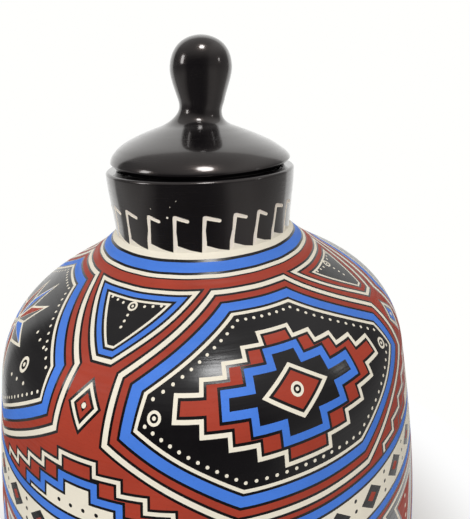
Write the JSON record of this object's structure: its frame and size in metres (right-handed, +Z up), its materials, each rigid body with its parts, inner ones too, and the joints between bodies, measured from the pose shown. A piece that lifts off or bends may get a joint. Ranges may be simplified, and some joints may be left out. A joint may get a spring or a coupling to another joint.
{
  "type": "lidded pot",
  "caption": "Hollow rounded earthenware jar with an upright collar and a lift-off domed lid topped by a pear-shaped knob.",
  "frame": {"origin": "centre of the foot, on the ground", "axes": "+Z up along the pot's axis, the pictured side faces -Y"},
  "size_m": [0.223, 0.223, 0.3434],
  "materials": {
    "jar_clay": "burnished slip in black, red, blue and cream",
    "lid_clay": "burnished black slip"
  },
  "bodies": {
    "jar": {"jar": "jar_clay"},
    "lid": {"lid": "lid_clay"}
  },
  "joints": [
    {"name": "lid_lift", "type": "slide", "parent": "jar", "child": "lid", "axis": [0, 0, 1], "range_m": [0, 0.08]}
  ]
}
